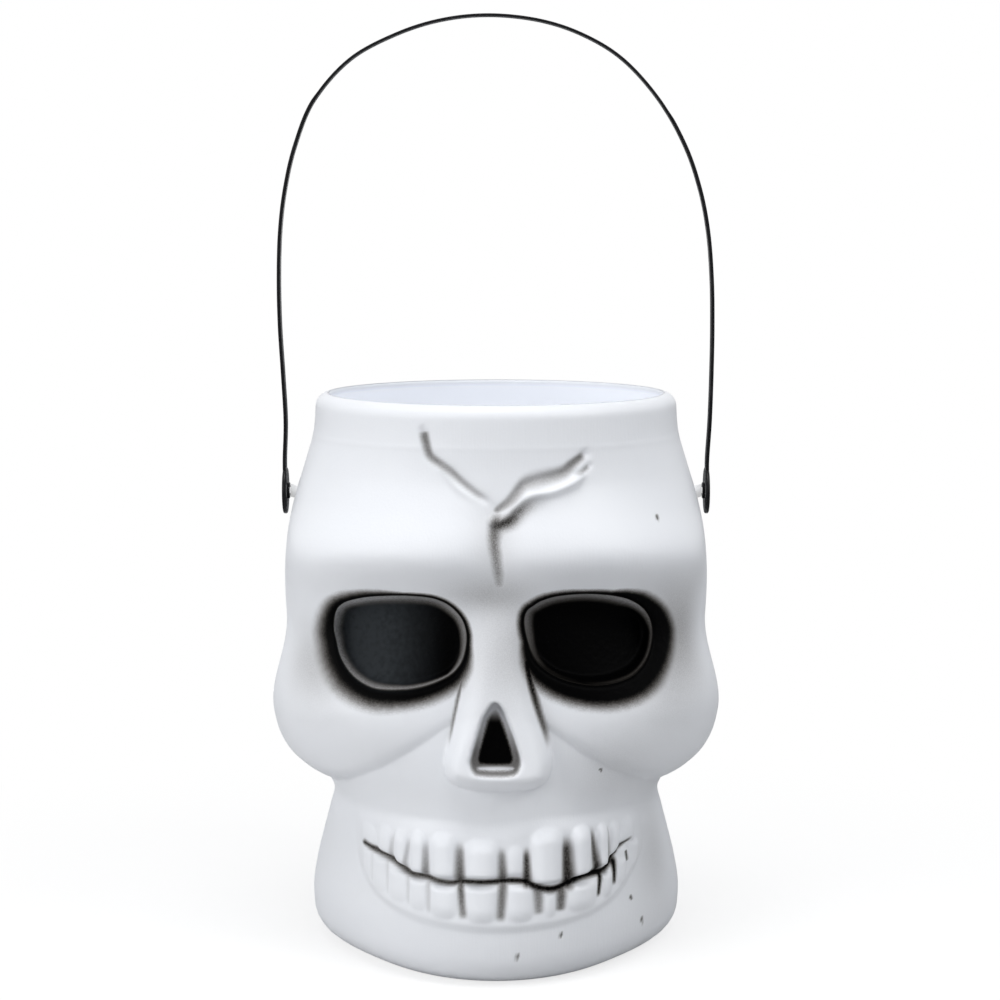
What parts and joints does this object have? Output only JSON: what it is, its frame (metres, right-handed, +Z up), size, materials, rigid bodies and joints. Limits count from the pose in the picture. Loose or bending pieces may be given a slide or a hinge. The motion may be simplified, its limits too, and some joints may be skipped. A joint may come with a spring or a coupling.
{
  "type": "skull candy bucket",
  "caption": "Blow-moulded skull-shaped bucket, open at the crown, with a plastic strap handle that swings on two snap studs in the temples.",
  "frame": {"origin": "on the ground under the middle of the head, in the plane of the handle's pivots", "axes": "+Z up from the base to the open crown, the face looks along -Y, +X to the right as seen from the front"},
  "size_m": [0.153, 0.1557, 0.3156],
  "materials": {
    "head_white": "satin blow-moulded polyethylene with sprayed black sockets and crack",
    "strap_black": "smooth semi-gloss moulded strap",
    "stud_white": "plain moulded plastic"
  },
  "bodies": {
    "bucket": {"bucket_shell": "head_white", "left_snap_stud": "stud_white", "right_snap_stud": "stud_white"},
    "handle": {"strap_handle": "strap_black"}
  },
  "joints": [
    {"name": "handle_swing", "type": "hinge", "parent": "bucket", "child": "handle", "pos_m": [0, 0, 0.154], "axis": [1, 0, 0], "range_deg": [-140, 140]}
  ]
}
